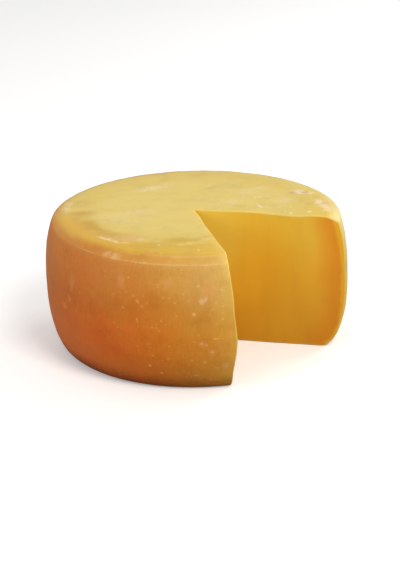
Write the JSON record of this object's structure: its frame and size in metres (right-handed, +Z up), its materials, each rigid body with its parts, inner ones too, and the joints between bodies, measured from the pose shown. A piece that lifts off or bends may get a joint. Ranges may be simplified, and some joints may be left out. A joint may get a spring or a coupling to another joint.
{
  "type": "aged kashar cheese wheel",
  "caption": "Pressed wheel of aged kashar cheese with bulging sides, a softened shoulder, a mould line and a V-shaped notch where a wedge was cut out.",
  "frame": {"origin": "on the surface the wheel rests on, under the middle of the wheel's box", "axes": "+Z up through the wheel, -Y towards the viewer of the picture, +X to the right; the notch opens between -Y and +X"},
  "size_m": [0.3198, 0.32, 0.146],
  "materials": {
    "cheese": "aged natural rind, dull wax-like sheen, smooth golden paste on the cut faces"
  },
  "bodies": {
    "root": {"cheese_wheel": "cheese"}
  },
  "joints": []
}
